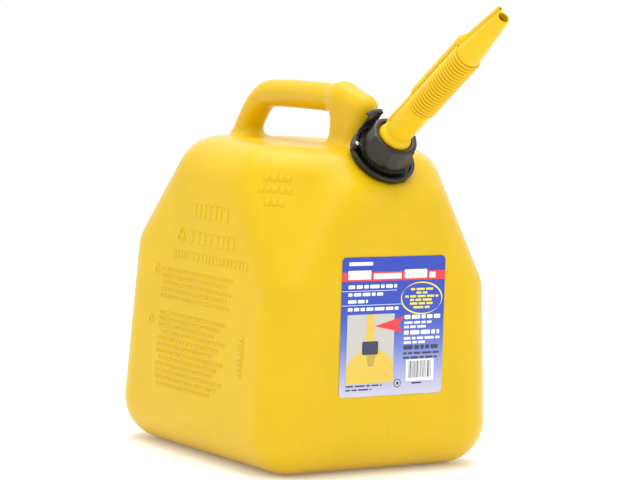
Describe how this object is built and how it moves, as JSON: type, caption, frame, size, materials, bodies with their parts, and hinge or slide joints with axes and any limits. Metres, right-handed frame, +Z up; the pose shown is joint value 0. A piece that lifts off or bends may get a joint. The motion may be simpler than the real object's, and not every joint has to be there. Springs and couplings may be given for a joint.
{
  "type": "jerry can",
  "caption": "Moulded plastic fuel can with a carrying handle, a leaning threaded neck, a screw collar with a locking lever and a flexible pouring spout.",
  "frame": {"origin": "middle of the base's footprint, on the surface the can stands on", "axes": "+Z up; the labelled front face and the spout point along -Y; the handle runs along Y"},
  "size_m": [0.2706, 0.458, 0.4549],
  "materials": {
    "can_plastic": "satin yellow polyethylene",
    "spout_plastic": "satin yellow polyethylene",
    "collar_plastic": "satin black polypropylene",
    "ring_plastic": "satin black polypropylene",
    "lever_plastic": "satin black polypropylene",
    "gasket_rubber": "matt black rubber",
    "pin_steel": "bright steel",
    "label_film": "printed film"
  },
  "bodies": {
    "can": {"can_body": "can_plastic", "can_neck": "can_plastic", "front_label": "label_film", "lock_ring": "ring_plastic", "lever_pin": "pin_steel"},
    "lever": {"lock_lever": "lever_plastic"},
    "seal": {"neck_gasket": "gasket_rubber"},
    "collar": {"screw_collar": "collar_plastic"},
    "spout": {"spout_base": "spout_plastic", "spout_bellows": "spout_plastic"},
    "nozzle": {"spout_nozzle": "spout_plastic"}
  },
  "joints": [
    {"name": "closure_lift", "type": "slide", "parent": "can", "child": "seal", "axis": [0, -0.7071, 0.7071], "range_m": [0, 0.0094]},
    {"name": "collar_turn", "type": "hinge", "parent": "seal", "child": "collar", "pos_m": [0, -0.1182, 0.3038], "axis": [0, -0.7071, 0.7071], "range_deg": [0, 540]},
    {"name": "spout_swivel", "type": "hinge", "parent": "seal", "child": "spout", "pos_m": [0, -0.1182, 0.3038], "axis": [0, -0.7071, 0.7071], "range_deg": [-180, 180]},
    {"name": "spout_flex", "type": "hinge", "parent": "spout", "child": "nozzle", "pos_m": [0, -0.2151, 0.3822], "axis": [1, 0, 0], "range_deg": [-25, 35], "stiffness_Nm_per_rad": 0.15, "deforming": ["spout_bellows"]},
    {"name": "lever_release", "type": "hinge", "parent": "can", "child": "lever", "pos_m": [-0.03066, -0.11279, 0.30921], "axis": [0, -0.7071, 0.7071], "range_deg": [0, 7], "stiffness_Nm_per_rad": 0.2}
  ],
  "couplings": [
    {"joint": "closure_lift", "follows": "collar_turn", "m_per_rad": 0.00098676}
  ]
}
